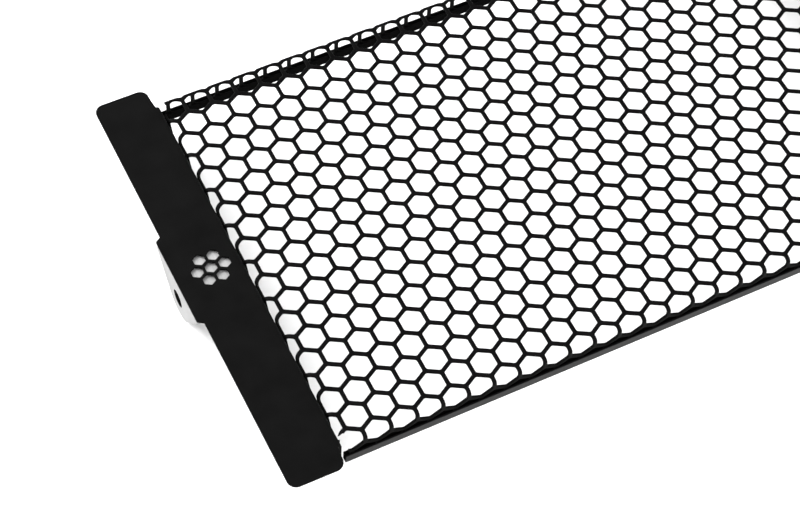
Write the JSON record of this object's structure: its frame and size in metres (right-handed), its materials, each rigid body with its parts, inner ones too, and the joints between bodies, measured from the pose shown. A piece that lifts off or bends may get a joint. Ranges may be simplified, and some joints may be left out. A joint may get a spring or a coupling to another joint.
{
  "type": "radiator guard",
  "caption": "Flat hexagonal mesh guard with folded edges, rubber edge strips, black end plates and bright bent brackets with a bolt tab at each end.",
  "frame": {"origin": "under the middle of the guard, level with the lowest points of the two bolt tabs", "axes": "+X along the guard's length, +Y across it towards the far edge strip, +Z out of the front face"},
  "size_m": [0.3078, 0.1768, 0.0212],
  "materials": {
    "mesh_black": "black paint, slightly glossy",
    "plate_black": "fine satin black powder coat",
    "bracket_steel": "bright, finely brushed",
    "fastener_zinc": "zinc plated",
    "strip_rubber": "matte black rubber"
  },
  "bodies": {
    "root": {"mesh_face": "mesh_black", "mesh_flange_near": "mesh_black", "mesh_flange_far": "mesh_black", "mesh_flange_left": "mesh_black", "mesh_flange_right": "mesh_black", "edge_strip_near": "strip_rubber", "edge_strip_far": "strip_rubber", "end_plate_left": "plate_black", "end_plate_right": "plate_black", "bracket_left": "bracket_steel", "bracket_right": "bracket_steel", "stud_left_1": "fastener_zinc", "stud_left_2": "fastener_zinc", "stud_left_3": "fastener_zinc", "stud_left_4": "fastener_zinc", "stud_right_1": "fastener_zinc", "stud_right_2": "fastener_zinc", "stud_right_3": "fastener_zinc", "stud_right_4": "fastener_zinc", "washer_left_1": "fastener_zinc", "washer_left_2": "fastener_zinc", "washer_left_3": "fastener_zinc", "washer_left_4": "fastener_zinc", "washer_right_1": "fastener_zinc", "washer_right_2": "fastener_zinc", "washer_right_3": "fastener_zinc", "washer_right_4": "fastener_zinc", "nut_left_1": "fastener_zinc", "nut_left_2": "fastener_zinc", "nut_left_3": "fastener_zinc", "nut_left_4": "fastener_zinc", "nut_right_1": "fastener_zinc", "nut_right_2": "fastener_zinc", "nut_right_3": "fastener_zinc", "nut_right_4": "fastener_zinc"}
  },
  "joints": []
}
